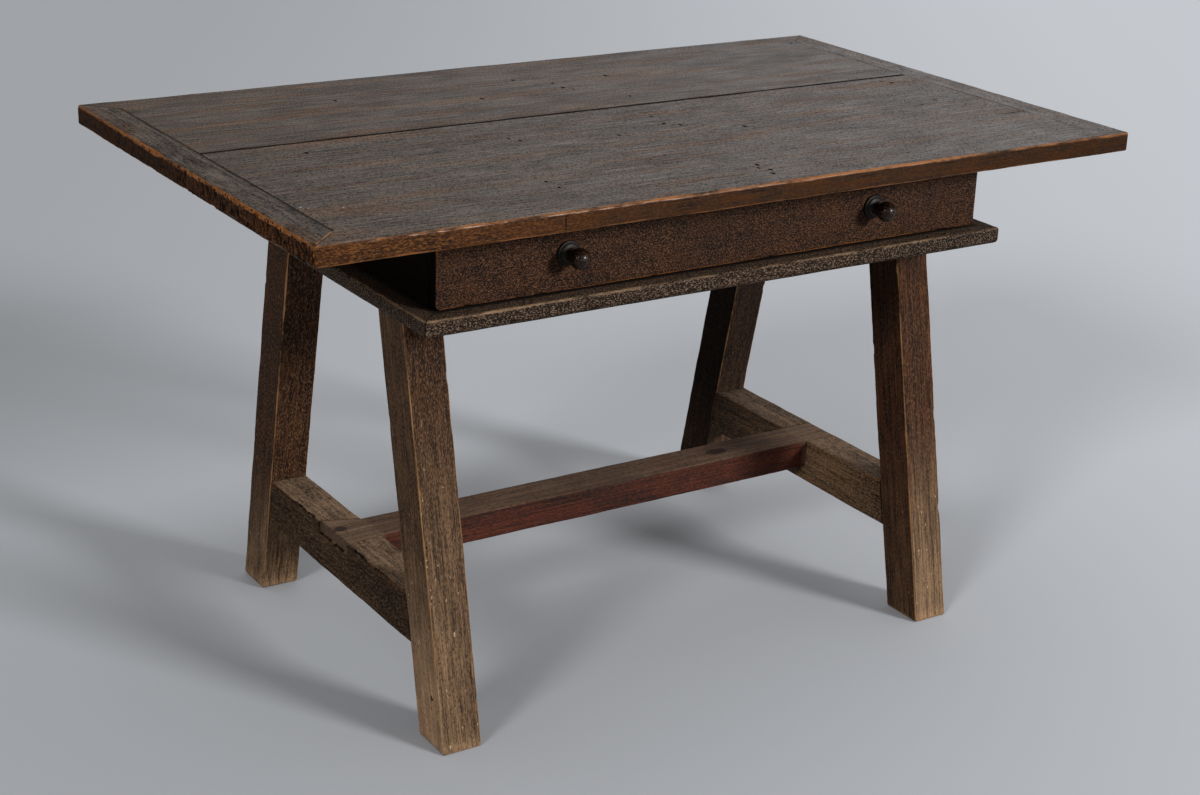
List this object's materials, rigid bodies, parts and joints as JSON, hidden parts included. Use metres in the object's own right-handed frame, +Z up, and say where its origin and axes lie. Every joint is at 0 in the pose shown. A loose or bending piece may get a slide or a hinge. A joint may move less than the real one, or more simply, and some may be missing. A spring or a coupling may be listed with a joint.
{
  "type": "trestle table",
  "caption": "Old dark wood table with a wide board top on splayed trestle legs, joined by a low stretcher, with a shallow full-width drawer on knobs.",
  "frame": {"origin": "on the floor under the middle of the table top", "axes": "+X along the length of the top, +Z up, and the drawer opens towards -Y"},
  "size_m": [1.325, 0.8, 0.77],
  "materials": {
    "top_wood": "worn dark wax",
    "case_wood": "worn dark wax",
    "trestle_wood": "worn, dusty",
    "drawer_front_wood": "worn dark wax",
    "inner_wood": "bare, aged",
    "knob_wood": "polished by handling",
    "nail_iron": "hand-forged, dull"
  },
  "bodies": {
    "table": {"top_board_front": "top_wood", "top_board_back": "top_wood", "top_seam_tongue": "inner_wood", "end_batten_left": "top_wood", "end_batten_right": "top_wood", "base_rail_front": "case_wood", "base_rail_back": "case_wood", "base_rail_left": "case_wood", "base_rail_right": "case_wood", "base_corner_keys": "inner_wood", "case_end_panel_left": "case_wood", "case_end_panel_right": "case_wood", "case_back_panel": "case_wood", "case_front_rail": "inner_wood", "head_batten_left": "inner_wood", "head_batten_right": "inner_wood", "drawer_kicker_left": "inner_wood", "drawer_kicker_right": "inner_wood", "base_dowels": "inner_wood", "top_dowels": "inner_wood", "leg_front_left": "trestle_wood", "leg_front_right": "trestle_wood", "leg_back_left": "trestle_wood", "leg_back_right": "trestle_wood", "leg_wedges": "inner_wood", "side_stretcher_left": "trestle_wood", "side_stretcher_right": "trestle_wood", "centre_stretcher": "trestle_wood"},
    "drawer": {"drawer_side_left": "inner_wood", "drawer_side_right": "inner_wood", "drawer_front": "drawer_front_wood", "drawer_back": "inner_wood", "drawer_bottom": "inner_wood", "drawer_bottom_nails": "nail_iron", "drawer_knob_left": "knob_wood", "drawer_knob_right": "knob_wood", "drawer_knob_wedges": "inner_wood"}
  },
  "joints": [
    {"name": "drawer_slide", "type": "slide", "parent": "table", "child": "drawer", "axis": [0, -1, 0], "range_m": [0, 0.4]}
  ]
}
